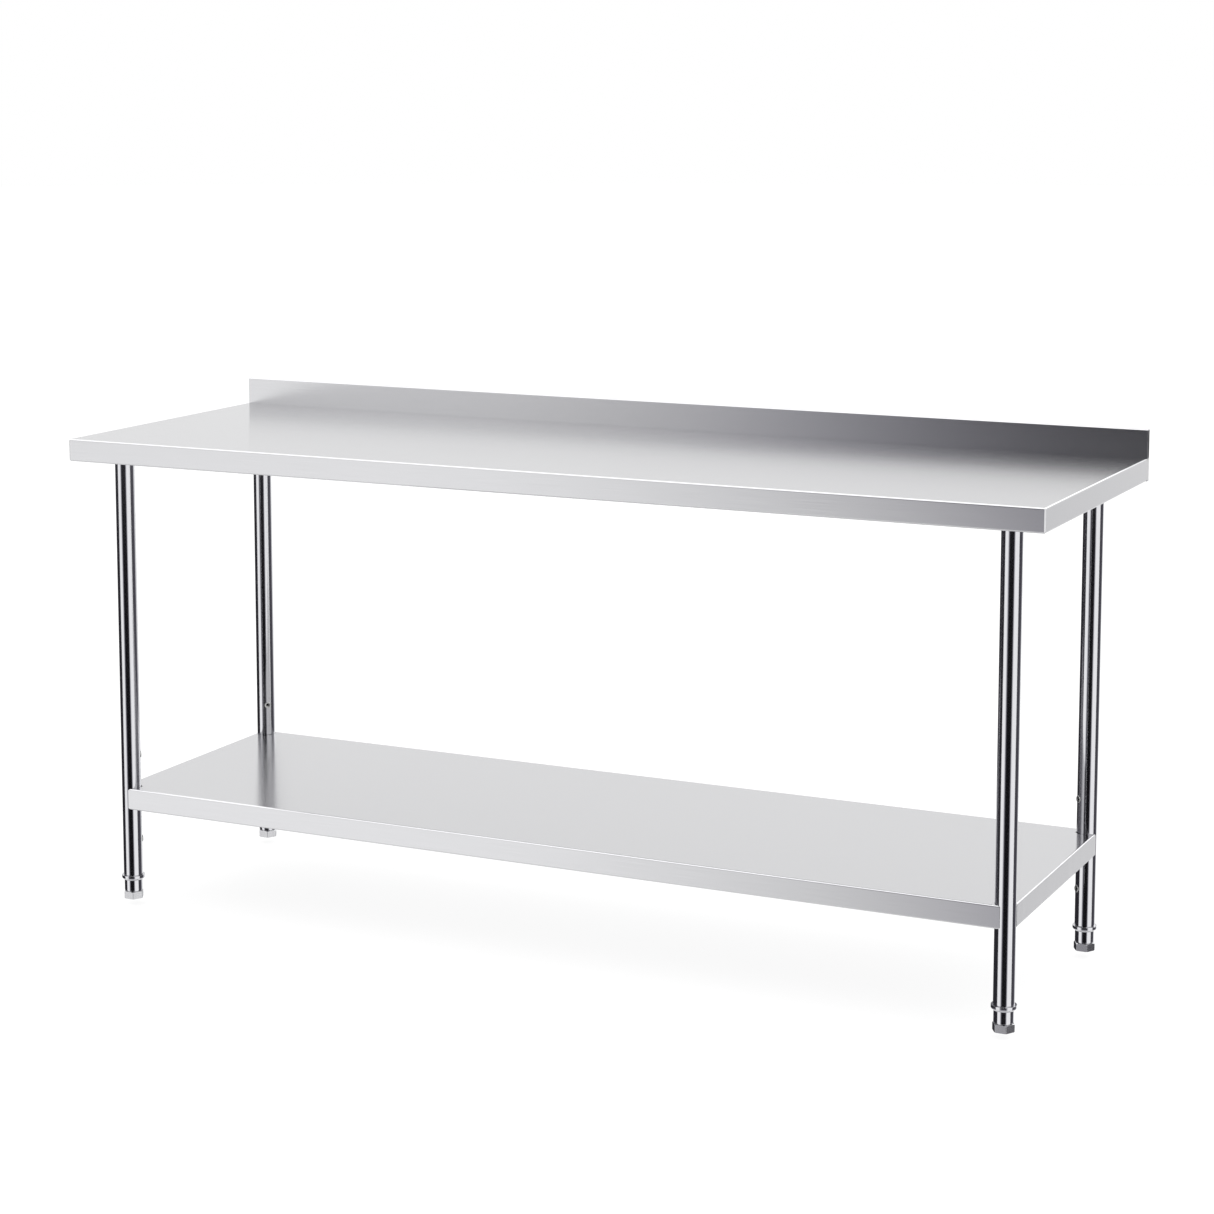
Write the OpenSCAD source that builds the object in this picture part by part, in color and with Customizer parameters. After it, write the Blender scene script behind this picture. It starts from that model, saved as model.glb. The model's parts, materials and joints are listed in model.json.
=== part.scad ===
// Stainless work table with a low backsplash, four tube legs, an undershelf
// that bolts at three heights, and screw feet.
// Origin: on the floor, under the middle of the table. +X runs along the
// length, +Y points to the wall side, +Z is up.

/* [Worktop] */
// Length of the table
table_length = 1829; // [1500:1:2100]
// Depth of the table, from the front apron to the wall face
table_depth = 610; // [560:1:760]
// Height of the working surface above the floor
top_height = 864; // [800:1:920]
// Height of the turned-down aprons
apron_height = 40.4; // [38:0.2:50]
// Thickness of the worktop sheet
top_sheet = 1.2; // [1:0.1:1.5]
// Outer radius of the bends in the worktop sheet
top_bend = 3; // [2:0.5:4]
// Width of the return at the foot of each apron
top_hem = 12; // [8:1:14]

/* [Backsplash] */
// Rise of the backsplash above the working surface
splash_rise = 50; // [30:1:150]
// Depth of the boxed backsplash, front face to wall face
splash_depth = 10; // [8:1:14]
// Outer radius of the bends at the top of the backsplash
splash_bend = 2.5; // [2:0.5:3]
// Inner radius of the bend where the working surface turns up into the backsplash
splash_fold = 1.2; // [1:0.1:3]

/* [Legs] */
// Outside diameter of a leg tube
leg_d = 35; // [34:0.5:36]
// Wall thickness of a leg tube
leg_wall = 1; // [0.9:0.1:1.1]
// Leg axis to the nearer end of the table
leg_end_inset = 73.5; // [70:0.5:90]
// Front leg axis to the front apron face
leg_front_inset = 68; // [60:1:80]
// Rear leg axis to the wall face
leg_rear_inset = 80; // [70:1:90]
// Height of the lower end of each leg tube
leg_foot_z = 38; // [37.8:0.1:38.4]
// Height of the lowest threaded hole in each leg
low_hole_z = 110.8; // [110:0.2:114]
// Step between the threaded holes, the undershelf's height adjustment
hole_pitch = 80; // [70:1:80]

/* [Undershelf] */
// Height of the shelf surface above the floor
shelf_top_z = 210.4; // [208:0.2:212]
// Height of the shelf's turned-down flange
shelf_flange = 39.2; // [36:0.2:42]
// Thickness of the shelf sheet
shelf_sheet = 1; // [0.9:0.1:1.2]
// Width of the return at the foot of the shelf flange
shelf_hem = 10; // [8:1:12]
// Running gap between a leg tube and the shelf around it
shelf_gap = 0.5; // [0.4:0.1:1]

/* [Channels] */
// Thickness of the channel steel
channel_sheet = 1.5; // [1.2:0.1:2]
// Depth of the channels under the worktop
channel_depth = 20; // [18:1:21]

/* [Feet] */
// Width of the hex foot across its flats
hex_flats = 32.8; // [32:0.1:33]
// Height of the hex foot
hex_height = 13.8; // [12:0.2:14]
// Outside diameter of the collar at the end of each leg
collar_d = 42; // [40:0.5:44]
// Thread diameter of the foot stud
stud_d = 12; // [10:1:12]
// Radial running clearance of the sliding and turning fits
fit_gap = 0.06; // [0.04:0.01:0.08]

/* [Hidden] */
$fn = 64;
corners = [
    ["front_left", -1, -1], ["front_right", 1, -1],
    ["rear_left", -1, 1], ["rear_right", 1, 1]
];
sides = [["left", -1], ["right", 1]];
function each_corner(prefix) = [for (c = corners) str(prefix, "_", c[0])];

half_length = table_length / 2;
half_depth = table_depth / 2;
apron_foot_z = top_height - apron_height;
splash_top_z = top_height + splash_rise;
splash_front_y = half_depth - splash_depth;
under_top_z = top_height - top_sheet;
cut = 1;                                    // overrun of a cutting tool

leg_x = half_length - leg_end_inset;
front_leg_y = leg_front_inset - half_depth;
rear_leg_y = half_depth - leg_rear_inset;
frame_mid_y = (front_leg_y + rear_leg_y) / 2;
leg_r = leg_d / 2;
leg_bore_r = leg_r - leg_wall;
channel_web_z = under_top_z - channel_depth; // underside of the channel web
hole_levels = [for (i = [0:2]) low_hole_z + i * hole_pitch];

// Rivet nuts, M8
nut_bore_r = 3.4;
nut_barrel_r = 5.5;
nut_flange_r = 6.25;
nut_flange_t = 1;
nut_length = 11;
nut_bulge_r = 6.8;
nut_bulge_t = 2.5;
nut_bulge_at = 2.6;                         // depth of the bulge behind the leg's outer face

// Undershelf
shelf_length = 2 * leg_x + leg_d;
shelf_front_y = front_leg_y - leg_r;
shelf_rear_y = rear_leg_y + leg_r;
shelf_foot_z = shelf_top_z - shelf_flange;
shelf_mid_z = hole_levels[1];
shelf_cut_r = leg_r + shelf_gap;
relief_r = leg_r + nut_flange_t + 0.4;      // reach of the slot that passes the rivet nuts
relief_w = 2 * nut_flange_r + 2.5;
bracket_r = shelf_cut_r + 3.5;
shelf_channel_depth = 18;
shelf_channel_sheet = 1.2;

// Screws
bolt_r = 4;
bolt_flats = 13;
bolt_head_h = 5.3;
washer_r = 8;
washer_t = 1.6;
small_stud_r = 3;
small_nut_flats = 10;
small_nut_h = 5;
small_stud_length = 14;

// Channels
hat_web = 64;                               // width of the channel's web
hat_flange = 15;                            // width of each channel flange
hat_slope = 3;                              // sideways lean of each channel wall
hat_flange_mid = hat_web / 2 + hat_slope + hat_flange / 2;
end_channel_length = 570;
socket_r = leg_r + 3.5;
socket_flange_r = 30;
socket_flange_t = 3;
socket_foot_z = 816;
socket_screw_z = 827;
socket_screw_length = 6;

// Feet, heights above the floor
collar_foot_z = 35.5;
collar_top_z = 44.2;
sleeve_top_z = 56;
core_foot_z = 46;
core_top_z = 76;
insert_top_z = 88;
stud_foot_z = 4;
stud_top_z = 84;
sleeve_r = leg_bore_r - fit_gap;
sleeve_bore_r = 13.5;
sleeve_floor = 2.4;
core_r = 12.8;
stud_r = stud_d / 2;

function leg_y(c) = c[2] < 0 ? front_leg_y : rear_leg_y;
// Direction from a leg towards the middle of the table, level and at 45 degrees
function inward(c) = atan2(-c[2], -c[1]);

// ---- shared shapes ----

// A section drawn in Y and Z, carried along X
module along_x(length) {
    rotate([90, 0, 90]) linear_extrude(length, center = true) children();
}

// A section drawn in X and Z, carried along Y
module along_y(length) {
    rotate([90, 0, 0]) linear_extrude(length, center = true) children();
}

// A rectangle from a to b with every corner rounded
module rounded_rect(a, b, r) {
    translate([a.x + r, a.y]) square([b.x - a.x - 2 * r, b.y - a.y]);
    translate([a.x, a.y + r]) square([b.x - a.x, b.y - a.y - 2 * r]);
    for (x = [a.x + r, b.x - r], y = [a.y + r, b.y - r]) translate([x, y]) circle(r);
}

// A block from a to b with its level and upright edges rounded, as bent sheet is
module bent_block(a, b, r) {
    size = b - a;
    intersection() {
        translate([0, 0, a.z]) linear_extrude(size.z)
            rounded_rect([a.x, a.y], [b.x, b.y], r);
        translate([(a.x + b.x) / 2, 0, 0]) along_x(size.x + cut)
            rounded_rect([a.y, a.z], [b.y, b.z], r);
        translate([0, (a.y + b.y) / 2, 0]) along_y(size.y + cut)
            rounded_rect([a.x, a.z], [b.x, b.z], r);
    }
}

// A box from a to b
module box(a, b) {
    translate(a) cube(b - a);
}

// Hat section of sheet thickness t, its flanges against the sheet at height top
module hat(top, depth, t) {
    foot = hat_web / 2;
    shoulder = foot + hat_slope;
    right = [
        [foot, top - depth], [shoulder, top - t], [shoulder + hat_flange, top - t],
        [shoulder + hat_flange, top], [shoulder - t, top], [foot - t, top - depth + t]
    ];
    left = [for (i = [5:-1:0]) [-right[i].x, right[i].y]];
    polygon(concat(right, left));
}

// Places children on a leg axis
module at_leg(c) {
    translate([c[1] * leg_x, leg_y(c), 0]) children();
}

// Places children at height z on the line from a leg towards the middle of the
// table; their +Z runs inward and their origin is on the leg axis
module facing_in(c, z) {
    at_leg(c) translate([0, 0, z]) rotate([0, 90, inward(c)]) children();
}

// A solid of revolution from a list of [radius, height] corners
module turned(outline) {
    rotate_extrude() polygon(outline);
}

// A true hexagonal prism, its corners on the X axis
module hex_bar(flats, h) {
    cylinder(d = flats / cos(30), h = h, $fn = 6);
}

// ---- worktop ----

// Height and side of each stud that holds the channels to the worktop
stud_places = concat(
    [for (s = sides, x = [-1, 1], y = [-200, 0, 200])
        [s[1] * leg_x + x * hat_flange_mid, frame_mid_y + y]],
    [for (x = [-600, -200, 200, 600], y = [-1, 1]) [x, frame_mid_y + y * hat_flange_mid]]
);

// Section of the fill between the flat and the upright of a bend of radius r,
// where the working surface turns up into the backsplash
module cove(r) {
    translate([splash_front_y - splash_fold, top_height + splash_fold]) difference() {
        translate([0, -r]) square(r);
        circle(r);
    }
}

// Solid outline of the worktop, before it is hollowed
module worktop_outside() {
    bent_block([-half_length, -half_depth, apron_foot_z],
               [half_length, half_depth, top_height], top_bend);
    along_x(table_length)
        rounded_rect([splash_front_y, apron_foot_z], [half_depth, splash_top_z], splash_bend);
    along_x(table_length - 2 * top_bend) cove(splash_fold);
}

// The hollow under the worktop sheet and inside the open-ended backsplash
module worktop_inside() {
    inner_x = half_length - top_sheet;
    inner_y = half_depth - top_sheet;
    inner_splash_y = splash_front_y + top_sheet;
    inner_splash_z = splash_top_z - top_sheet;
    inner_foot_z = apron_foot_z + top_sheet;
    inner_r = splash_bend - top_sheet;
    bent_block([-inner_x, -inner_y, inner_foot_z], [inner_x, inner_y, under_top_z],
               top_bend - top_sheet);
    along_x(2 * inner_x)
        rounded_rect([inner_splash_y, inner_foot_z], [inner_y, inner_splash_z], inner_r);
    along_x(table_length + cut)
        rounded_rect([inner_splash_y, top_height], [inner_y, inner_splash_z], inner_r);
    along_x(2 * inner_x) cove(splash_fold + top_sheet);
    box([-half_length + top_hem, -half_depth + top_hem, apron_foot_z - cut],
        [half_length - top_hem, half_depth - top_hem, inner_foot_z + cut]);
}

module worktop() color("gainsboro") difference() {
    worktop_outside();
    worktop_inside();
}

// Channel across one end, drilled for its weld studs
module end_channel(s) color("silver") difference() {
    translate([s[1] * leg_x, frame_mid_y, 0]) along_y(end_channel_length)
        hat(under_top_z, channel_depth, channel_sheet);
    stud_holes();
}

// Channel between the two end channels
module long_channel() color("silver") difference() {
    translate([0, frame_mid_y, 0]) along_x(2 * (leg_x - hat_flange_mid - hat_flange))
        hat(under_top_z, channel_depth, channel_sheet);
    stud_holes();
}

module stud_holes() {
    for (p = stud_places) translate([p.x, p.y, under_top_z - channel_sheet - cut])
        cylinder(r = small_stud_r + 0.3, h = channel_sheet + 2 * cut);
}

// Studs welded under the worktop sheet
module weld_studs() color("darkgray")
    for (p = stud_places) translate([p.x, p.y, under_top_z - small_stud_length])
        cylinder(r = small_stud_r, h = small_stud_length);

module stud_nuts() color("lightgray")
    for (p = stud_places)
        translate([p.x, p.y, under_top_z - channel_sheet - small_nut_h]) difference() {
            hex_bar(small_nut_flats, small_nut_h);
            translate([0, 0, -cut]) cylinder(r = small_stud_r, h = small_nut_h + 2 * cut);
        }

// Flanged cup welded under an end channel, which holds the top of a leg
module leg_socket(c) color("silver") difference() {
    at_leg(c) turned([
        [leg_r, socket_foot_z], [socket_r - 1, socket_foot_z], [socket_r, socket_foot_z + 1],
        [socket_r, channel_web_z - socket_flange_t - 2],
        [socket_r + 2, channel_web_z - socket_flange_t],
        [socket_flange_r, channel_web_z - socket_flange_t],
        [socket_flange_r, channel_web_z], [leg_r, channel_web_z]
    ]);
    facing_in(c, socket_screw_z) cylinder(r = bolt_r, h = socket_r + cut);
}

// Grub screws that lock the legs in their sockets
module socket_screws() color("dimgray") for (c = corners) facing_in(c, socket_screw_z)
    translate([0, 0, leg_r]) difference() {
        cylinder(r = bolt_r, h = socket_screw_length);
        translate([0, 0, socket_screw_length - 3]) hex_bar(4, 3 + cut);
    }

// ---- legs ----

module leg(c) color("gainsboro") difference() {
    at_leg(c) translate([0, 0, leg_foot_z]) difference() {
        cylinder(r = leg_r, h = channel_web_z - leg_foot_z);
        translate([0, 0, -cut]) cylinder(r = leg_bore_r, h = channel_web_z);
    }
    for (z = hole_levels) facing_in(c, z) cylinder(r = nut_barrel_r, h = leg_d);
}

// Threaded inserts set in the legs, facing the middle of the table
module rivet_nuts() color("silver") for (c = corners, z = hole_levels) facing_in(c, z) {
    outer = leg_r + nut_flange_t;
    bulge = leg_r - nut_bulge_at;
    turned([
        [nut_bore_r, outer - nut_length], [nut_barrel_r, outer - nut_length],
        [nut_barrel_r, bulge - nut_bulge_t - 1], [nut_bulge_r, bulge - nut_bulge_t],
        [nut_bulge_r, bulge - 0.6], [nut_barrel_r, bulge], [nut_barrel_r, leg_r],
        [nut_flange_r, leg_r], [nut_flange_r, outer - 0.4], [nut_flange_r - 0.4, outer],
        [nut_bore_r + 0.5, outer], [nut_bore_r, outer - 0.5]
    ]);
}

// ---- feet ----

// Ferrule at the end of a leg; its lip guides the sleeve
module foot_collar(c) color("gainsboro") at_leg(c) {
    r = collar_d / 2;
    turned([
        [leg_bore_r, collar_foot_z], [leg_r, collar_foot_z], [r - 0.5, collar_foot_z + 2.8],
        [r, collar_foot_z + 3.8], [r, collar_top_z - 0.2], [r - 0.2, collar_top_z],
        [leg_r, collar_top_z], [leg_r, leg_foot_z], [leg_bore_r, leg_foot_z]
    ]);
}

// Threaded plug pressed into a leg; its core hangs inside the sleeve
module foot_insert(c) color("whitesmoke") at_leg(c) {
    bore = stud_r + fit_gap;
    turned([
        [bore, core_foot_z], [core_r - 1, core_foot_z], [core_r, core_foot_z + 1],
        [core_r, core_top_z], [leg_bore_r, core_top_z], [leg_bore_r, insert_top_z],
        [bore, insert_top_z]
    ]);
}

// Skirt that telescopes into the leg above the hex foot
module foot_sleeve(c) color("gainsboro") at_leg(c) {
    turned([
        [stud_r + fit_gap, hex_height], [sleeve_r - 0.3, hex_height],
        [sleeve_r, hex_height + 0.3], [sleeve_r, sleeve_top_z], [sleeve_bore_r, sleeve_top_z],
        [sleeve_bore_r, hex_height + sleeve_floor], [stud_r + fit_gap, hex_height + sleeve_floor]
    ]);
}

// Hex foot, its corners turned off at the top and bottom as on a nut
module foot_hex(c) color("darkgray") at_leg(c) {
    corner_r = hex_flats / 2 / cos(30);
    top_slope = (corner_r - hex_flats / 2 + 0.3) * tan(30);
    difference() {
        intersection() {
            hex_bar(hex_flats, hex_height);
            turned([
                [0, 0], [corner_r - 1, 0], [corner_r, 0.7], [corner_r, hex_height - top_slope],
                [hex_flats / 2 - 0.3, hex_height], [0, hex_height]
            ]);
        }
        translate([0, 0, stud_foot_z]) cylinder(r = stud_r, h = hex_height);
    }
}

module foot_stud(c) color("silver") at_leg(c)
    turned([[0, stud_foot_z], [stud_r, stud_foot_z], [stud_r, stud_top_z - 1],
            [stud_r - 1, stud_top_z], [0, stud_top_z]]);

// ---- undershelf ----

// Hollow that a leg needs through the shelf: a round gap, a slot for the rivet
// nuts to pass, and the open corner outside the leg
module leg_passage(c, r) {
    h = shelf_flange + 2 * cut;
    z = shelf_foot_z - cut;
    at_leg(c) translate([0, 0, z]) {
        cylinder(r = r, h = h);
        rotate(inward(c)) translate([0, -relief_w / 2, 0]) cube([relief_r, relief_w, h]);
        rotate(inward(c) + 180) rotate(-45) cube([leg_d, leg_d, h]);
    }
}

// Box of the shelf pan, each face moved in by inset
module shelf_block(inset) {
    bent_block([-shelf_length / 2 + inset, shelf_front_y + inset, shelf_foot_z + inset],
               [shelf_length / 2 - inset, shelf_rear_y - inset, shelf_top_z - inset],
               top_bend - inset);
}

module shelf_pan() color("gainsboro") difference() {
    shelf_block(0);
    shelf_block(shelf_sheet);
    box([-shelf_length / 2 + shelf_hem, shelf_front_y + shelf_hem, shelf_foot_z - cut],
        [shelf_length / 2 - shelf_hem, shelf_rear_y - shelf_hem, shelf_foot_z + shelf_sheet + cut]);
    for (c = corners) leg_passage(c, shelf_cut_r);
}

// Channel welded along the underside of the shelf
module shelf_channel() color("silver") translate([0, frame_mid_y, 0])
    along_x(2 * (leg_x - bracket_r - 10))
        hat(shelf_top_z - shelf_sheet, shelf_channel_depth, shelf_channel_sheet);

// Curved saddle welded in a corner of the shelf, bolted to the leg
module shelf_bracket(c) color("silver") difference() {
    intersection() {
        shelf_block(shelf_sheet);
        at_leg(c) cylinder(r = bracket_r, h = shelf_top_z);
    }
    leg_passage(c, shelf_cut_r);
    facing_in(c, shelf_mid_z) cylinder(r = bolt_r + 0.2, h = bracket_r + cut);
}

module shelf_washers() color("lightgray") for (c = corners) facing_in(c, shelf_mid_z)
    translate([0, 0, bracket_r]) difference() {
        cylinder(r = washer_r, h = washer_t);
        translate([0, 0, -cut]) cylinder(r = bolt_r + 0.2, h = washer_t + 2 * cut);
    }

// Bolts, cut off at the bracket's inner face so that the shelf can slide
module shelf_bolts() color("silver") for (c = corners) facing_in(c, shelf_mid_z) {
    head_z = bracket_r + washer_t;
    translate([0, 0, relief_r]) cylinder(r = bolt_r, h = head_z - relief_r);
    translate([0, 0, head_z]) intersection() {
        hex_bar(bolt_flats, bolt_head_h);
        turned([[0, 0], [bolt_flats, 0], [bolt_flats, bolt_head_h - bolt_flats / 3],
                [bolt_flats / 2 - 0.3, bolt_head_h], [0, bolt_head_h]]);
    }
}

worktop();
long_channel();
weld_studs();
stud_nuts();
socket_screws();
rivet_nuts();
shelf_pan();
shelf_channel();
shelf_washers();
shelf_bolts();
for (s = sides)
    end_channel(s);
for (c = corners) {
    leg_socket(c);
    leg(c);
    foot_collar(c);
    foot_insert(c);
    foot_sleeve(c);
    foot_hex(c);
    foot_stud(c);
    shelf_bracket(c);
}
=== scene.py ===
import json
import math

import bmesh
import bpy
from mathutils import Matrix, Vector

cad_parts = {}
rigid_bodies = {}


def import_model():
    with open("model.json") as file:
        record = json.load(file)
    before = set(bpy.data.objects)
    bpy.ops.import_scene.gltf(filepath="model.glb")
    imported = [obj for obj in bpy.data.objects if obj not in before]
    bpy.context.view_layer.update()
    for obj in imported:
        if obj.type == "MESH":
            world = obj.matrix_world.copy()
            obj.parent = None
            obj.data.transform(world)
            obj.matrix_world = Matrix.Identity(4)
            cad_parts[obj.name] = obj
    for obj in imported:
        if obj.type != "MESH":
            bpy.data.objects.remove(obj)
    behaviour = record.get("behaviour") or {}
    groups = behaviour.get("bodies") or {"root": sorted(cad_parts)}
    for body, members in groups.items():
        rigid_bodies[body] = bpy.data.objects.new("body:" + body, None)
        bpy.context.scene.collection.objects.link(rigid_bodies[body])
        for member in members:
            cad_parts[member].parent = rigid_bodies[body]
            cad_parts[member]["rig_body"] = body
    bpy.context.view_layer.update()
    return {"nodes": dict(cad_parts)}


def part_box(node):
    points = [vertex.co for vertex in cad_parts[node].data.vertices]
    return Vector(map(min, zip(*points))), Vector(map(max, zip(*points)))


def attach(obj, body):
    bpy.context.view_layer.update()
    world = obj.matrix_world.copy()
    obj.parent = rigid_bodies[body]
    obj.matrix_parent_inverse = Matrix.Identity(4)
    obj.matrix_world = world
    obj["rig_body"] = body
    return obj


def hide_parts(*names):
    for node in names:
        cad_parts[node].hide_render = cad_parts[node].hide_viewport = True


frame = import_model()
mm = 0.001
corners = ["front_left", "front_right", "rear_left", "rear_right"]
nearly = 1e-6  # closer than this is the same place


def hexColour(code):
    parts = [int(code[i:i + 2], 16) / 255 for i in (1, 3, 5)]
    return [p / 12.92 if p <= 0.04045 else ((p + 0.055) / 1.055) ** 2.4 for p in parts] + [1]


def addNode(tree, kind, settings=None, links=None):
    # Settings are the node's values, its sockets' values, or a colour ramp's stops as
    # (position, grey level) or (position, colour)
    node = tree.nodes.new(kind)
    for key, value in (settings or {}).items():
        if key == "stops":
            elements = node.color_ramp.elements
            while len(elements) < len(value):
                elements.new(0.5)
            for element, (position, colour) in zip(elements, value):
                element.position = position
                element.color = colour if isinstance(colour, list) else (colour, colour, colour, 1)
        elif isinstance(key, int) or key in node.inputs:
            node.inputs[key].default_value = value
        else:
            setattr(node, key, value)
    for key, source in (links or {}).items():
        tree.links.new(source, node.inputs[key])
    return node


def newMaterial(name):
    material = bpy.data.materials.new(name)
    material.use_nodes = True
    material.node_tree.nodes.clear()
    return material, material.node_tree


def grainNoise(tree, look):
    # One stretched noise; grain is its size in mm along u and v of the grain map, or along X, Y and Z
    if look.get("mapped"):
        place = addNode(tree, "ShaderNodeUVMap", {"uv_map": "grain"}).outputs["UV"]
    else:
        place = addNode(tree, "ShaderNodeTexCoord").outputs["Object"]
    stretched = addNode(tree, "ShaderNodeMapping", {"Scale": [1 / (size * mm) for size in look["grain"]]},
                        {"Vector": place})
    noise = addNode(tree, "ShaderNodeTexNoise", {"Scale": 1, "Detail": look["detail"], "Roughness": 0.6},
                    {"Vector": stretched.outputs["Vector"]})
    return noise.outputs["Fac"]


def surface(tree, look):
    # Colour and bump follow the same grain; spread is the part of its range where they change
    grain = grainNoise(tree, look)
    low, high = look["spread"]
    colour = addNode(tree, "ShaderNodeValToRGB",
                     {"stops": [(low, hexColour(look["dark"])), (high, hexColour(look["light"]))]},
                     {"Fac": grain})
    bump = addNode(tree, "ShaderNodeBump", {"Strength": look["bumpStrength"], "Distance": look["bump"] * mm},
                   {"Height": grain})
    return grain, {"Base Color": colour.outputs["Color"], "Normal": bump.outputs["Normal"]}


def metalFinish(name, look):
    # The grain also makes the dark parts a little rougher
    material, tree = newMaterial(name)
    grain, links = surface(tree, look)
    low, high = look["spread"]
    smoothest, roughest = look["roughness"]
    rough = addNode(tree, "ShaderNodeMapRange", {"From Min": low, "From Max": high, "To Min": roughest,
                                                 "To Max": smoothest}, {"Value": grain})
    # The quarter turn smears highlights across the lines
    steel = addNode(tree, "ShaderNodeBsdfPrincipled",
                    {"Metallic": 1, "Anisotropic": look.get("anisotropy", 0), "Anisotropic Rotation": 0.25},
                    {**links, "Roughness": rough.outputs["Result"]})
    if look.get("anisotropy"):
        tangent = addNode(tree, "ShaderNodeTangent", {"direction_type": "UV_MAP", "uv_map": "grain"})
        tree.links.new(tangent.outputs["Tangent"], steel.inputs["Tangent"])
    addNode(tree, "ShaderNodeOutputMaterial", links={"Surface": steel.outputs["BSDF"]})
    return material


def plasticFinish(name, look):
    material, tree = newMaterial(name)
    links = surface(tree, look)[1]
    plastic = addNode(tree, "ShaderNodeBsdfPrincipled",
                      {"Roughness": look["roughness"], "IOR": look["ior"], "Subsurface Weight": look["milk"],
                       "Subsurface Scale": look["milkDepth"] * mm}, links)
    addNode(tree, "ShaderNodeOutputMaterial", links={"Surface": plastic.outputs["BSDF"]})
    return material


# Satin sheet, ground along its length by a belt: the flats look soft and even, the bends shine.
# The lines are drawn 1.1 mm wide; the real ones, about 0.05 mm, are too fine to show.
satinLook = {"light": "#CDCDCF", "dark": "#C9C9CB", "roughness": (0.16, 0.19), "anisotropy": 0.8,
             "mapped": True, "grain": (120, 1.1, 1000), "detail": 3, "spread": (0.3, 0.7),
             "bump": 0.0015, "bumpStrength": 0.2}
# Drawn tube, buffed nearly to a mirror: hard bright and dark bands run its whole length.
# Its polishing lines are drawn 1.2 mm wide, many times the real width, so that they show.
tubeLook = {"light": "#CFCFD2", "dark": "#C9C9CC", "roughness": (0.1, 0.13),
            "grain": (1.2, 1.2, 160), "detail": 3, "spread": (0.3, 0.7),
            "bump": 0.0004, "bumpStrength": 0.1}
# Cold-rolled channel as the mill leaves it: dull grey with a broken, cloudy sheen.
# The grain is drawn 2.5 mm across, far coarser than the real one, so that it shows.
channelLook = {"light": "#BFC1C3", "dark": "#ABADB0", "roughness": (0.38, 0.5),
               "grain": (2.5, 2.5, 2.5), "detail": 4, "spread": (0.3, 0.7),
               "bump": 0.01, "bumpStrength": 0.4}
# Turned fasteners: small bright glints, crossed by the rings that the lathe tool leaves.
# The rings are drawn 0.35 mm apart, two or three times the real feed.
fastenerLook = {"light": "#D0D0CE", "dark": "#BDBDBC", "roughness": (0.2, 0.3),
                "grain": (30, 30, 0.35), "detail": 3, "spread": (0.3, 0.7),
                "bump": 0.01, "bumpStrength": 0.4}
# Forged feet, tumbled bright: clear reflections with a fine mottle over them.
# The mottle is drawn 0.7 mm across, coarser than the real one, so that it shows.
footLook = {"light": "#D8D8DA", "dark": "#949497", "roughness": (0.14, 0.22),
            "grain": (0.7, 0.7, 0.7), "detail": 4, "spread": (0.3, 0.7),
            "bump": 0.02, "bumpStrength": 0.35}
# Natural moulded nylon: milky and slightly warm, as light soaks in at the edges.
# Its flow marks are drawn 1.4 mm across.
nylonLook = {"light": "#EDEBE2", "dark": "#E4E1D6", "roughness": 0.46,
             "ior": 1.53, "milk": 0.2, "milkDepth": 3,
             "grain": (1.4, 1.4, 1.4), "detail": 4, "spread": (0.35, 0.65),
             "bump": 0.03, "bumpStrength": 0.3}

finishes = {
    "satin_sheet": metalFinish("satinBrushedSheet", satinLook),
    "polished_tube": metalFinish("polishedTube", tubeLook),
    "channel_steel": metalFinish("millFinishChannel", channelLook),
    "fastener_steel": metalFinish("turnedFastenerSteel", fastenerLook),
    "foot_steel": metalFinish("tumbledFootSteel", footLook),
    "nylon_plug": plasticFinish("naturalNylon", nylonLook),
}
slotOf = {n: o.active_material.name.split(".")[0] for n, o in frame["nodes"].items()}
for name, node in frame["nodes"].items():
    node.data.materials.clear()
    node.data.materials.append(finishes[slotOf[name]])
print("finishes ready:", len(finishes))


def grainMap(bm):
    # u runs with the grain, in metres: along X, and down the faces that look along X
    layer = bm.loops.layers.uv.new("grain")
    facing = 0.7  # nearly the cosine of 45 degrees
    for face in bm.faces:
        endFace = abs(face.normal.x) > facing
        flat = abs(face.normal.z) > facing
        for loop in face.loops:
            x, y, z = loop.vert.co
            loop[layer].uv = (z, y) if endFace else (x, y) if flat else (x, z)


def finishMesh(mesh):
    # Maps the grain, and shades smooth across bends and easings but crisp at real edges
    mesh.shade_smooth()
    bm = bmesh.new()
    bm.from_mesh(mesh)
    grainMap(bm)
    crisp = math.radians(32)
    for edge in bm.edges:
        edge.smooth = len(edge.link_faces) == 2 and edge.calc_face_angle(0) < crisp
    bm.to_mesh(mesh)
    bm.free()


def bakeModifiers(piece):
    bpy.context.view_layer.update()
    graph = bpy.context.evaluated_depsgraph_get()
    mesh = bpy.data.meshes.new_from_object(piece.evaluated_get(graph))
    piece.modifiers.clear()
    piece.data = mesh


def makeObject(bm, name):
    mesh = bpy.data.meshes.new(name)
    bm.to_mesh(mesh)
    bm.free()
    piece = bpy.data.objects.new(name, mesh)
    bpy.context.scene.collection.objects.link(piece)
    return piece


def combine(piece, others, operation):
    # Joins the others to the piece or cuts them out of it; they are used up
    for other in others:
        step = piece.modifiers.new("combine", "BOOLEAN")
        step.operation = operation
        step.solver = "EXACT"
        step.object = other
    bakeModifiers(piece)
    for other in others:
        bpy.data.objects.remove(other)


def addPiece(piece, node):
    # The piece takes its node's body, finish and place in the table
    finishMesh(piece.data)
    weighted = piece.modifiers.new("weighted", "WEIGHTED_NORMAL")
    weighted.keep_sharp = True
    bakeModifiers(piece)
    piece.data.materials.clear()
    piece.data.materials.append(finishes[slotOf[node]])
    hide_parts(node)
    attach(piece, frame["nodes"][node]["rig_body"])
    return piece


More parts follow.
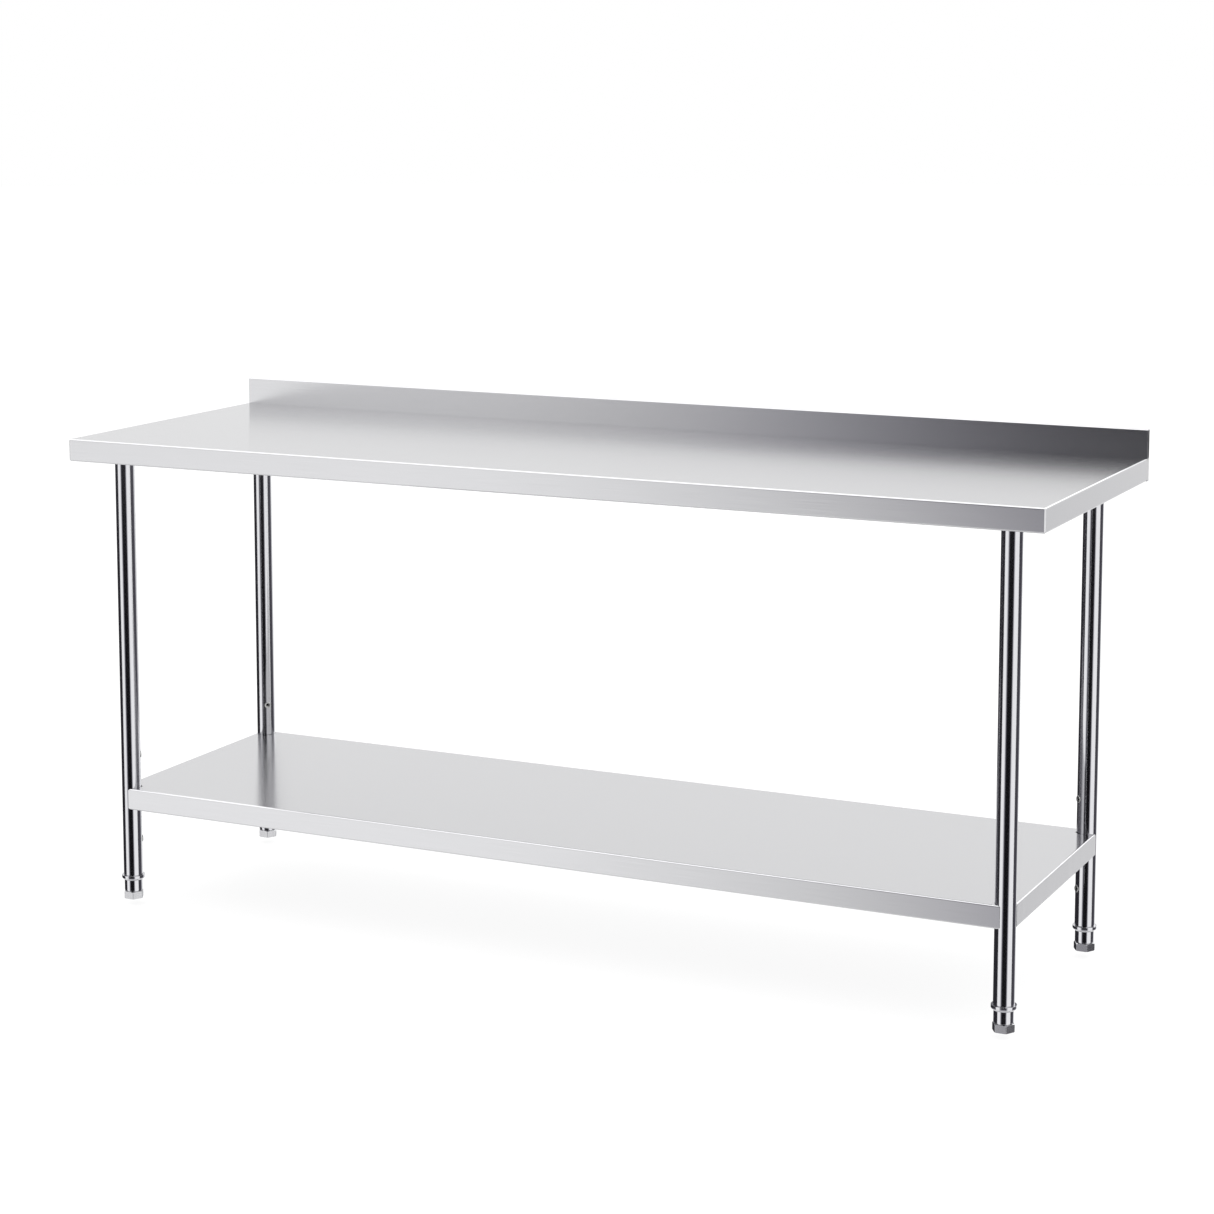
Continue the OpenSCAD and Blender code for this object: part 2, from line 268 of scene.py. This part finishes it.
def boxMesh(low, high):
    low, high = Vector(low), Vector(high)
    bm = bmesh.new()
    bmesh.ops.create_cube(bm, size=1)
    place = Matrix.Translation((low + high) / 2) @ Matrix.Diagonal((*(high - low), 1))
    bmesh.ops.transform(bm, matrix=place, verts=bm.verts)
    return bm


def bevelEdges(bm, edges, width, segments=3, clamp=True):
    bmesh.ops.bevel(bm, geom=edges, offset=width, segments=segments, profile=0.5, affect="EDGES",
                    material=-1, clamp_overlap=clamp)


def lathe(outline, steps=96):
    # Spins a closed outline of (radius, height) points, in mm, round Z
    bm = bmesh.new()
    ring = [bm.verts.new((r * mm, 0, z * mm)) for r, z in outline]
    edges = [bm.edges.new((a, b)) for a, b in zip(ring, ring[1:] + ring[:1]) if a.co.x + b.co.x > 0]
    bmesh.ops.spin(bm, geom=ring + edges, cent=(0, 0, 0), axis=(0, 0, 1), angle=math.tau, steps=steps,
                   use_merge=True)
    bmesh.ops.remove_doubles(bm, verts=bm.verts, dist=nearly)
    bmesh.ops.recalc_face_normals(bm, faces=bm.faces)
    return bm


def sharpEdges(bm, angle=40):
    return [e for e in bm.edges if len(e.link_faces) == 2 and e.calc_face_angle(0) > math.radians(angle)]


def uprights(bm):
    # Sharp edges that rise by nine tenths of their length or more
    return [e for e in sharpEdges(bm) if abs(e.verts[0].co.z - e.verts[1].co.z) > 0.9 * e.calc_length()]


def mergeFlat(bm):
    # Joins triangles that lie in one plane into whole faces
    bmesh.ops.dissolve_limit(bm, angle_limit=math.radians(0.5), verts=bm.verts, edges=bm.edges)


def axisOf(node):
    low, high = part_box(node)
    return (low + high) / 2


def levelMatrix(corner, height):
    # A point on a leg's axis at this height, with +Z turned level towards the middle of the table
    spot = axisOf("leg_" + corner)
    inward = math.atan2(-math.copysign(1, spot.y), -math.copysign(1, spot.x))
    return (Matrix.Translation((spot.x, spot.y, height)) @ Matrix.Rotation(inward, 4, "Z")
            @ Matrix.Rotation(math.pi / 2, 4, "Y"))


worktopSizes = {"sheet": 1.2, "bend": 3, "bendSteps": 6, "corner": 2, "apron": 40.4, "hem": 12,
                "splashDepth": 10, "splashRise": 50, "splashBend": 2.5, "splashSteps": 5, "cutPast": 5}


def bentBlock(name, low, high, bend, corner, steps):
    # A block whose level edges are bent round and whose upright ones are ground to a narrow flat
    bm = boxMesh(low, high)
    bevelEdges(bm, uprights(bm), corner, 1, clamp=False)
    level = [e for e in sharpEdges(bm) if e not in uprights(bm)]
    bevelEdges(bm, level, bend, steps, clamp=False)
    return makeObject(bm, name)


def splashBlock(low, high, bend, steps):
    # A block whose two long top edges are bent round
    bm = boxMesh(low, high)
    depth = high[1] - low[1]
    edges = [e for e in bm.edges if all(v.co.z > high[2] - nearly for v in e.verts)
             and e.calc_length() > 2 * depth]
    bevelEdges(bm, edges, bend, steps)
    return makeObject(bm, "splashBlock")


def worktopSheet(sizes):
    low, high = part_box("worktop")
    sheet, bend, corner, hem = (sizes[k] * mm for k in ("sheet", "bend", "corner", "hem"))
    top = high.z - sizes["splashRise"] * mm
    foot = top - sizes["apron"] * mm
    splash = high.y - sizes["splashDepth"] * mm
    past = sizes["cutPast"] * mm
    steps, splashSteps = sizes["bendSteps"], sizes["splashSteps"]
    a, b = Vector((low.x, low.y, foot)), Vector((high.x, high.y, top))
    table = bentBlock("worktopSheet", a, b, bend, corner, steps)
    riser = splashBlock((low.x, splash, foot), high, sizes["splashBend"] * mm, splashSteps)
    combine(table, [riser], "UNION")
    # The hollow: under the sheet, inside the backsplash, which is open at both ends, and between the hems
    inset = Vector((sheet, sheet, sheet))
    a, b = a + inset, b - inset
    innerCorner = corner - 0.6 * sheet  # the ground corners keep their thickness
    innerBend = (sizes["splashBend"] - sizes["sheet"]) * mm
    under = bentBlock("under", a, b, bend - sheet, innerCorner, steps)
    # The top of this one ends inside the next, so its own bends don't show
    inner = splashBlock((a.x, splash + sheet, a.z), (b.x, b.y, top + past), innerBend / 2, splashSteps)
    through = splashBlock((low.x - past, splash + sheet, top), (high.x + past, b.y, high.z - sheet),
                          innerBend, splashSteps)
    opening = boxMesh((low.x + hem, low.y + hem, foot - past), (high.x - hem, high.y - hem, foot + past))
    combine(table, [under, inner, through, makeObject(opening, "opening")], "DIFFERENCE")
    bm = bmesh.new()
    bm.from_mesh(table.data)
    mergeFlat(bm)
    bm.to_mesh(table.data)
    bm.free()
    return addPiece(table, "worktop")


shelfSizes = {"sheet": 1, "bend": 3, "bendSteps": 6, "hem": 10, "gap": 0.5, "gapSides": 96, "slotWidth": 15,
              "slotReach": 18.9, "cutPast": 20}


def shelfSheet(sizes):
    low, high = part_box("shelf_pan")
    bm = boxMesh(low, high)
    bottom = [min(bm.faces, key=lambda face: face.normal.z)]
    bmesh.ops.inset_region(bm, faces=bottom, thickness=sizes["hem"] * mm, use_even_offset=True)
    bmesh.ops.delete(bm, geom=bottom, context="FACES_ONLY")
    bevelEdges(bm, sharpEdges(bm), sizes["bend"] * mm, sizes["bendSteps"])
    bmesh.ops.recalc_face_normals(bm, faces=bm.faces)
    bmesh.ops.solidify(bm, geom=bm.faces, thickness=sizes["sheet"] * mm)
    pan = makeObject(bm, "shelfSheet")
    # Each corner is cut for its leg: a round gap, a slot that passes the threaded inserts, and the
    # open outer corner
    middle = (low.z + high.z) / 2
    past, half = sizes["cutPast"] * mm, sizes["slotWidth"] / 2 * mm
    for corner in corners:
        spot = axisOf("leg_" + corner)
        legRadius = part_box("leg_" + corner)[1].x - spot.x
        radius = legRadius + sizes["gap"] * mm
        roundGap = bmesh.new()
        bmesh.ops.create_cone(roundGap, cap_ends=True, segments=sizes["gapSides"], radius1=radius,
                              radius2=radius, depth=high.z - low.z + past,
                              matrix=Matrix.Translation((spot.x, spot.y, middle)))
        slot = boxMesh((-half, -past, 0), (half, past, sizes["slotReach"] * mm))
        inward = levelMatrix(corner, middle) @ Matrix.Rotation(math.pi / 2, 4, "Z")
        bmesh.ops.transform(slot, matrix=inward, verts=slot.verts)
        xs = sorted((spot.x, spot.x + math.copysign(2 * legRadius, spot.x)))
        ys = sorted((spot.y, spot.y + math.copysign(2 * legRadius, spot.y)))
        outside = boxMesh((xs[0], ys[0], low.z - past), (xs[1], ys[1], high.z + past))
        combine(pan, [makeObject(cutter, "cutter") for cutter in (roundGap, slot, outside)], "DIFFERENCE")
    return addPiece(pan, "shelf_pan")


worktopSheet(worktopSizes)
shelfSheet(shelfSizes)
print("sheets ready")

tubeSizes = {"wall": 1, "holeRadius": 5.5, "holeSides": 32, "holes": (110.8, 190.8, 270.8), "bandShare": 1.5}


def roundNormals(tube, spot):
    # The wall shades as a true cylinder, also where the holes break it up
    mesh = tube.data
    normals = [Vector(n.vector) for n in mesh.corner_normals]
    axis = Vector((spot.x, spot.y, 0))
    level = Vector((1, 1, 0))
    for face in mesh.polygons:
        out = (face.center - axis) * level
        # Only faces of the wall: they stand upright and look straight at the axis or away from it
        if abs(face.normal.z) < 0.1 and abs(out.normalized().dot(face.normal)) > 0.98:
            sign = math.copysign(1, out.dot(face.normal))
            for i in face.loop_indices:
                spoke = (mesh.vertices[mesh.loops[i].vertex_index].co - axis) * level
                normals[i] = sign * spoke.normalized()
    mesh.normals_split_custom_set(normals)


def legTube(corner, sizes):
    low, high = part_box("leg_" + corner)
    spot = (low + high) / 2
    radius, wall, hole = (high.x - low.x) / 2 / mm, sizes["wall"], sizes["holeRadius"]
    foot, top = low.z / mm, high.z / mm
    bm = lathe([(radius - wall, foot), (radius, foot), (radius, top), (radius - wall, top)])
    # Cuts above and below each hole keep the long faces between them whole
    for height in sizes["holes"]:
        for side in (-1, 1):
            bmesh.ops.bisect_plane(bm, geom=bm.verts[:] + bm.edges[:] + bm.faces[:], plane_no=(0, 0, 1),
                                   plane_co=(0, 0, (height + side * sizes["bandShare"] * hole) * mm))
    bmesh.ops.translate(bm, vec=(spot.x, spot.y, 0), verts=bm.verts)
    tube = makeObject(bm, "legTube_" + corner)
    drills = []
    for height in sizes["holes"]:
        place = levelMatrix(corner, height * mm) @ Matrix.Translation((0, 0, radius * mm))
        drill = bmesh.new()
        bmesh.ops.create_cone(drill, cap_ends=True, segments=sizes["holeSides"], radius1=hole * mm,
                              radius2=hole * mm, depth=radius * mm, matrix=place)
        drills.append(makeObject(drill, "drill"))
    combine(tube, drills, "DIFFERENCE")
    addPiece(tube, "leg_" + corner)
    roundNormals(tube, spot)
    return tube


footSizes = {"ease": 0.2, "tubeBore": 16.5, "tubeRadius": 17.5, "tubeFoot": 38, "studHole": 6.06,
             "collarFoot": 35.5, "collarTop": 44.2, "collarRadius": 21,
             "lipIn": 0.5, "lipFoot": 2.8, "lipTop": 3.8,
             "sleeveRadius": 16.44, "sleeveBore": 13.5, "sleeveTop": 56, "sleeveFloor": 2.4,
             "neckDepth": 1.4, "neckHeight": 1.3, "neckSlope": 0.3,
             "hexRound": 1.4, "hexSteps": 4, "hexShortest": 5, "hexTurn": (50, 70)}


def turnedPiece(node, name, outline, ease):
    # A lathe piece on its leg's axis; outline is (radius, height) in mm
    bm = lathe(outline)
    bevelEdges(bm, sharpEdges(bm), ease * mm)
    spot = axisOf(node)
    bmesh.ops.translate(bm, vec=(spot.x, spot.y, 0), verts=bm.verts)
    return addPiece(makeObject(bm, name), node)


def footCollar(corner, sizes):
    r, low, high = sizes["collarRadius"], sizes["collarFoot"], sizes["collarTop"]
    bore, tube, tubeFoot = sizes["tubeBore"], sizes["tubeRadius"], sizes["tubeFoot"]
    outline = [(bore, low), (tube, low), (r - sizes["lipIn"], low + sizes["lipFoot"]),
               (r, low + sizes["lipTop"]), (r, high), (tube, high), (tube, tubeFoot), (bore, tubeFoot)]
    return turnedPiece("foot_collar_" + corner, "footCollar_" + corner, outline, sizes["ease"])


def footSleeve(corner, sizes):
    r, hole, bore, top = sizes["sleeveRadius"], sizes["studHole"], sizes["sleeveBore"], sizes["sleeveTop"]
    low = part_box("foot_sleeve_" + corner)[0].z / mm
    inner = low + sizes["sleeveFloor"]
    neck, neckTop = r - sizes["neckDepth"], low + sizes["neckHeight"]
    outline = [(hole, low), (neck, low), (neck, neckTop), (r, neckTop + sizes["neckSlope"]),
               (r, top), (bore, top), (bore, inner), (hole, inner)]
    return turnedPiece("foot_sleeve_" + corner, "footSleeve_" + corner, outline, sizes["ease"])


def mergedCopy(node):
    # A CAD node's mesh is loose triangles; the copy has them joined into whole faces
    bm = bmesh.new()
    bm.from_mesh(frame["nodes"][node].data)
    bmesh.ops.remove_doubles(bm, verts=bm.verts, dist=2 * nearly)
    mergeFlat(bm)
    for layer in list(bm.loops.layers.uv):
        bm.loops.layers.uv.remove(layer)
    return bm


def footHex(corner, sizes):
    # Forged hexagon: its six upright edges are rounded, the rest just eased
    bm = mergedCopy("foot_hex_" + corner)
    least, most = (math.radians(turn) for turn in sizes["hexTurn"])
    bevelEdges(bm, [e for e in uprights(bm) if e.calc_length() > sizes["hexShortest"] * mm and e.is_convex
                    and least < e.calc_face_angle(0) < most], sizes["hexRound"] * mm, sizes["hexSteps"])
    bevelEdges(bm, sharpEdges(bm), sizes["ease"] * mm, 2)
    return addPiece(makeObject(bm, "footHex_" + corner), "foot_hex_" + corner)


rivetNutSizes = {"bore": 3.4, "root": 3.95, "pitch": 1.25, "mouth": 0.5, "lead": 0.4, "barrel": 5.5,
                 "flange": 6.25, "flangeThickness": 1, "flangeEase": 0.4, "length": 11,
                 "bulge": 6.8, "bulgeDepth": 2.6, "bulgeThickness": 2.5, "bulgeSlope": 0.6, "bulgeTail": 1,
                 "steps": 32}


def threadOutline(crest, root, pitch, low, high):
    # Thread up a bore, one ridge for each pitch, as rings and not as a helix
    turns = int((high - low) / pitch)
    start = low + (high - low - turns * pitch) / 2
    ridge = [(crest, 0.1), (crest, 0.35), (root, 0.55), (root, 0.9)]  # radius, share of the pitch
    return [(radius, start + (turn + share) * pitch) for turn in range(turns) for radius, share in ridge]


def repeated(bm, places):
    # Copies one small piece to every place, as one mesh
    source = bpy.data.meshes.new("source")
    bm.to_mesh(source)
    bm.free()
    result = bmesh.new()
    for place in places:
        before = set(result.verts)
        result.from_mesh(source)
        bmesh.ops.transform(result, matrix=place, verts=[v for v in result.verts if v not in before])
    bpy.data.meshes.remove(source)
    return result


def rivetNuts(sizes):
    # M8 threaded inserts: a thin flange outside the tube, a pulled-up bulge behind its wall
    wall = (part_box("leg_front_left")[1].x - axisOf("leg_front_left").x) / mm
    outer = wall + sizes["flangeThickness"]
    inner = outer - sizes["length"]
    mouth, barrel = sizes["bore"] + sizes["mouth"], sizes["barrel"]
    flange, flangeEase = sizes["flange"], sizes["flangeEase"]
    bulge, bulgeTop = sizes["bulge"], wall - sizes["bulgeDepth"]
    bulgeFoot = bulgeTop - sizes["bulgeThickness"]
    outline = [(mouth, inner)]
    outline += threadOutline(sizes["bore"], sizes["root"], sizes["pitch"], inner + sizes["lead"],
                             outer - sizes["mouth"])
    outline += [(mouth, outer), (flange - flangeEase, outer), (flange, outer - flangeEase), (flange, wall),
                (barrel, wall), (barrel, bulgeTop), (bulge, bulgeTop - sizes["bulgeSlope"]),
                (bulge, bulgeFoot), (barrel, bulgeFoot - sizes["bulgeTail"]), (barrel, inner)]
    places = [levelMatrix(corner, height * mm) for corner in corners for height in tubeSizes["holes"]]
    bm = repeated(lathe(outline, sizes["steps"]), places)
    return addPiece(makeObject(bm, "rivetNuts"), "rivet_nuts")


foldSizes = {"shortest": 200, "steepest": 88, "steps": 4}


def refine(node, name, ease, fold=0):
    # A merged copy of a CAD node with its long folds rounded and its sharp edges eased
    bm = mergedCopy(node)
    if fold:
        steepest = math.radians(foldSizes["steepest"])
        folds = [e for e in sharpEdges(bm) if e.is_convex and e.calc_length() > foldSizes["shortest"] * mm
                 and e.calc_face_angle(0) < steepest]
        bevelEdges(bm, folds, fold * mm, foldSizes["steps"])
    bevelEdges(bm, sharpEdges(bm), ease * mm, 2)
    return addPiece(makeObject(bm, name), node)


# Piece name, easing of its edges and rounding of its folds, in mm
cornerPieces = {"foot_insert_": ("footInsert_", 0.3), "foot_stud_": ("footStud_", 0.2),
                "leg_socket_": ("legSocket_", 0.3), "shelf_bracket_": ("shelfBracket_", 0.25)}
sharedPieces = {"end_channel_left": ("endChannel_left", 0.2, 1.9),
                "end_channel_right": ("endChannel_right", 0.2, 1.9),
                "long_channel": ("longChannel", 0.2, 1.9), "shelf_channel": ("shelfChannel", 0.2, 1.6),
                "stud_nuts": ("studNuts", 0.25), "weld_studs": ("weldStuds", 0.3),
                "socket_screws": ("socketScrews", 0.15), "shelf_washers": ("shelfWashers", 0.25),
                "shelf_bolts": ("shelfBolts", 0.25)}

for corner in corners:
    legTube(corner, tubeSizes)
    footCollar(corner, footSizes)
    footSleeve(corner, footSizes)
    footHex(corner, footSizes)
    for node, (name, ease) in cornerPieces.items():
        refine(node + corner, name + corner, ease)
rivetNuts(rivetNutSizes)
print("legs and feet ready")

for node, settings in sharedPieces.items():
    refine(node, *settings)
print("channels and screws ready")

studioLook = {
    # Brightness round the room by angle: 0 is in front of the table, 90 to its right, 180 behind it
    "round": {
        # Just below the horizon: bright and dark bands, which run down the tubes
        "low": [(-180, 1.15), (-160, 1.15), (-151, 0.06), (-146, 0.04), (-58, 0.03), (-55, 1.3), (-27, 1.3),
                (-21, 1.0), (-15, 0.34), (-9, 0.08), (-4, 0.02), (0, 0.008), (38, 0.008), (44.5, 0.3),
                (50, 1.0), (55, 1.3), (97.5, 1.3), (99.5, 0.08), (135, 0.1), (147, 0.12), (154, 0.5),
                (161, 0.92), (168, 1.15), (180, 1.15)],
        # Above the horizon: a dark flag in front shades the backsplash towards its right end
        "flag": [(-180, 1), (-34, 1), (-30, 1.15), (-25, 0.9), (-20.5, 0.36), (-17.5, 0.08), (-12, 0.005),
                 (32, 0.005), (44, 1), (180, 1)],
        # A dim card under the flag keeps the front face from going black
        "card": [(-180, 0), (-11, 0), (-3, 0.5), (36, 0.5), (44, 0), (180, 0)],
        # A bright strip low behind the table catches the bends of the right-hand edges
        "strip": [(-180, 1), (-175, 1), (-169, 0), (148, 0), (157, 1), (180, 1)],
        # Low dark screens at both sides darken the tubes where the shelf mirrors them
        "screens": [(-180, 1), (-124, 1), (-118, 0.1), (-60, 0.1), (-38, 1), (97, 1), (102, 0.1), (138, 0.1),
                    (146, 1), (180, 1)],
    },
    # Blends by height, the upward part of the direction: kind, from, to, value there, value beyond
    "height": {
        "flagTop": ("SMOOTHSTEP", 0.62, 0.85, 0, 1),
        "cardTop": ("LINEAR", 0.08, 0.16, 1, 0),
        "sky": ("LINEAR", 0.36, 0.75, 0.99, 2.0),
        "stripFoot": ("SMOOTHSTEP", 0.17, 0.24, 0, 1.1),
        "ground": ("SMOOTHSTEP", -0.35, -0.6, 0, 1),
        "level": ("SMOOTHSTEP", -0.12, -0.06, 0, 1),
    },
    "screenHeight": [(0.16, 1), (0.23, 0), (0.38, 0), (0.55, 1)],
    "groundLight": 0.95,
    # The dark parts of the room are a little violet, the bright ones neutral
    "tint": [(0, [0.93, 0.9, 1.08, 1]), (0.9, [1, 1, 1, 1])],
}


def studio(look):
    # White room with dark flags and screens; the camera itself sees plain white
    world = bpy.data.worlds.new("studio")
    bpy.context.scene.world = world
    world.use_nodes = True
    tree = world.node_tree
    tree.nodes.clear()
    direction = addNode(tree, "ShaderNodeTexCoord").outputs["Generated"]
    part = addNode(tree, "ShaderNodeSeparateXYZ", links={"Vector": direction}).outputs
    front = addNode(tree, "ShaderNodeMath", {"operation": "MULTIPLY", 1: -1}, {0: part["Y"]}).outputs[0]
    angle = addNode(tree, "ShaderNodeMath", {"operation": "ARCTAN2"}, {0: part["X"], 1: front}).outputs[0]
    turn = addNode(tree, "ShaderNodeMath", {"operation": "MULTIPLY_ADD", 1: 1 / math.tau, 2: 0.5},
                   {0: angle}).outputs[0]
    light = {}
    for name, stops in look["round"].items():
        light[name] = addNode(tree, "ShaderNodeValToRGB", {"stops": [(a / 360 + 0.5, v) for a, v in stops]},
                              {"Fac": turn}).outputs[0]
    for name, (kind, start, end, first, last) in look["height"].items():
        light[name] = addNode(tree, "ShaderNodeMapRange",
                              {"interpolation_type": kind, "From Min": start, "From Max": end,
                               "To Min": first, "To Max": last}, {"Value": part["Z"]}).outputs[0]
    light["screenHeight"] = addNode(tree, "ShaderNodeValToRGB", {"stops": look["screenHeight"]},
                                    {"Fac": part["Z"]}).outputs[0]
    # Each step mixes earlier lights under a new name; BLEND goes from the second one to full light
    steps = [("cardLit", "MULTIPLY", "card", "cardTop"), ("lowest", "MAXIMUM", "flag", "cardLit"),
             ("overFlag", "BLEND", "flagTop", "lowest"), ("overScreen", "BLEND", "screenHeight", "screens"),
             ("clear", "MULTIPLY", "overScreen", "overFlag"),
             ("skyStrip", "MULTIPLY_ADD", "strip", "stripFoot", "sky"),
             ("above", "MULTIPLY", "skyStrip", "clear")]
    for name, operation, *parts in steps:
        if operation == "BLEND":
            mixed = addNode(tree, "ShaderNodeMapRange", links={"Value": light[parts[0]],
                                                               "To Min": light[parts[1]]})
        else:
            mixed = addNode(tree, "ShaderNodeMath", {"operation": operation},
                            {i: light[p] for i, p in enumerate(parts)})
        light[name] = mixed.outputs[0]
    below = addNode(tree, "ShaderNodeMapRange", {"To Max": look["groundLight"]},
                    {"Value": light["ground"], "To Min": light["low"]}).outputs[0]
    room = addNode(tree, "ShaderNodeMapRange", links={"Value": light["level"], "To Min": below,
                                                      "To Max": light["above"]}).outputs[0]
    ray = addNode(tree, "ShaderNodeLightPath").outputs["Is Camera Ray"]
    seen = addNode(tree, "ShaderNodeMath", {"operation": "MAXIMUM"}, {0: room, 1: ray}).outputs[0]
    tint = addNode(tree, "ShaderNodeValToRGB", {"stops": look["tint"]}, {"Fac": seen}).outputs["Color"]
    shine = addNode(tree, "ShaderNodeBackground", links={"Strength": seen, "Color": tint})
    addNode(tree, "ShaderNodeOutputWorld", links={"Surface": shine.outputs[0]})


floorLook = {"drop": 12, "radius": 30, "sides": 64, "colour": "#707070", "glow": 0.88}


def paleFloor(look):
    # Matt and nearly shadowless; it lies where the feet reach when they are screwed right out
    bm = bmesh.new()
    bmesh.ops.create_circle(bm, cap_ends=True, segments=look["sides"], radius=look["radius"],
                            matrix=Matrix.Translation((0, 0, -look["drop"] * mm)))
    floor = makeObject(bm, "floor")
    material, tree = newMaterial("paleFloor")
    matt = addNode(tree, "ShaderNodeBsdfDiffuse", {"Color": hexColour(look["colour"])})
    glow = addNode(tree, "ShaderNodeEmission", {"Color": (1, 1, 1, 1), "Strength": look["glow"]})
    both = addNode(tree, "ShaderNodeAddShader", links={0: matt.outputs[0], 1: glow.outputs[0]})
    addNode(tree, "ShaderNodeOutputMaterial", links={"Surface": both.outputs[0]})
    floor.data.materials.append(material)
    floor.visible_glossy = False


cameraLook = {"lens": 83.543, "place": (2.1524, -4.4480, 1.5516), "pitch": 7.204, "yaw": 25.5955,
              "shift": -0.16}


def camera(look):
    data = bpy.data.cameras.new("camera")
    data.lens = look["lens"]
    data.shift_y = look["shift"]
    item = bpy.data.objects.new("camera", data)
    item.location = look["place"]
    item.rotation_euler = (math.radians(90 - look["pitch"]), 0, math.radians(look["yaw"]))
    bpy.context.scene.collection.objects.link(item)
    bpy.context.scene.camera = item


studio(studioLook)
paleFloor(floorLook)
camera(cameraLook)
bpy.context.scene.view_settings.view_transform = "Standard"
print("room, floor and camera ready")
